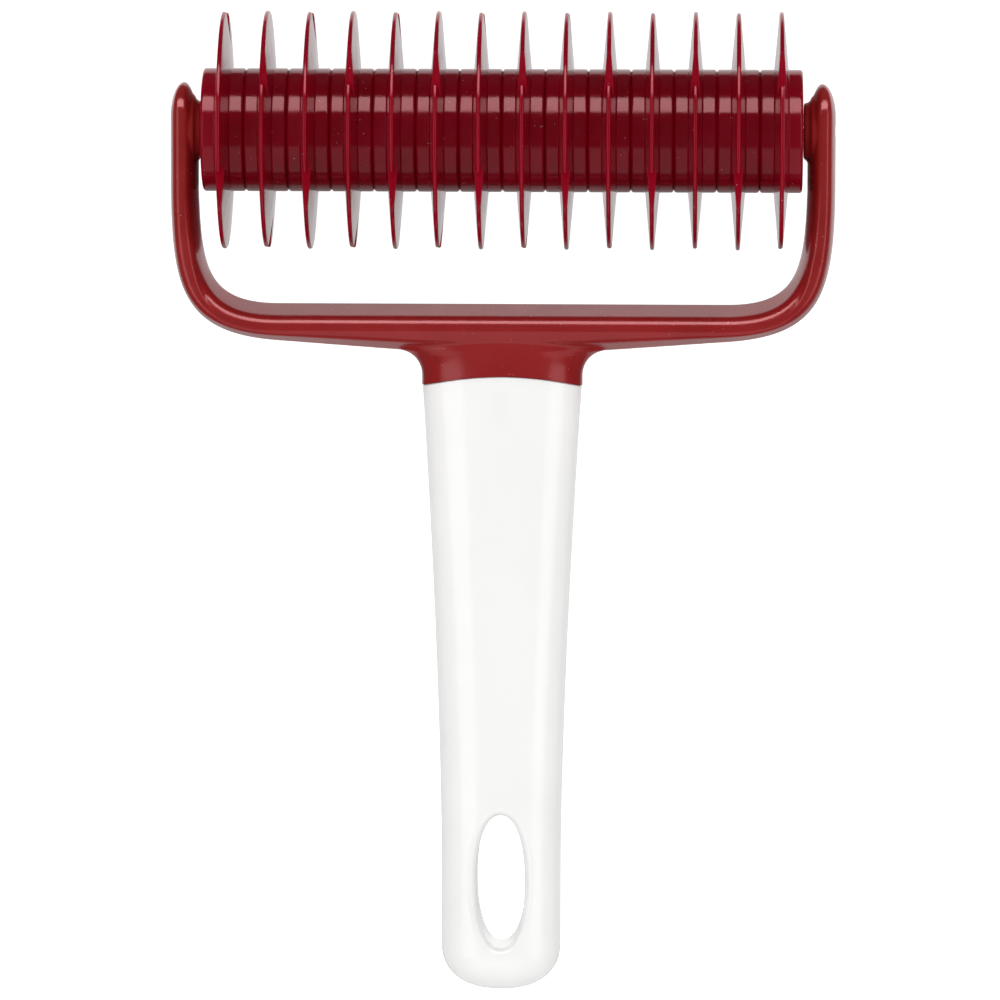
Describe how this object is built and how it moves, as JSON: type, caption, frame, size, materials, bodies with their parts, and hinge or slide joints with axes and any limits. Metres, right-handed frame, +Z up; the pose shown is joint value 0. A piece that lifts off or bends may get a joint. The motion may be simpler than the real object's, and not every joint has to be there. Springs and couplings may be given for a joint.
{
  "type": "lattice pastry roller",
  "caption": "Hand roller with notched cutting discs in a fork on a hollow handle with a hanging hole, for cutting a sheet of dough into a lattice.",
  "frame": {"origin": "centre of the tool's box on the surface that it lies on", "axes": "+X along the axle, +Y from the handle to the cutting discs, +Z up from the surface that the discs and the end of the handle rest on"},
  "size_m": [0.133, 0.1962, 0.0476],
  "materials": {
    "fork_red": "satin moulded plastic",
    "handle_white": "glossy moulded plastic",
    "axle_steel": "drawn steel",
    "spindle_red": "moulded plastic",
    "cap_red": "satin moulded plastic",
    "blade_red": "glossy moulded plastic"
  },
  "bodies": {
    "frame": {"fork": "fork_red", "handle": "handle_white", "axle": "axle_steel", "axle_cap_left": "cap_red", "axle_cap_right": "cap_red"},
    "roller": {"spindle": "spindle_red", "wheel_01": "blade_red", "wheel_02": "blade_red", "wheel_03": "blade_red", "wheel_04": "blade_red", "wheel_05": "blade_red", "wheel_06": "blade_red", "wheel_07": "blade_red", "wheel_08": "blade_red", "wheel_09": "blade_red", "wheel_10": "blade_red", "wheel_11": "blade_red", "wheel_12": "blade_red", "wheel_13": "blade_red", "wheel_14": "blade_red"}
  },
  "joints": [
    {"name": "roller_spin", "type": "hinge", "parent": "frame", "child": "roller", "pos_m": [0, 0.07435, 0.0238], "axis": [1, 0, 0], "continuous": true}
  ]
}
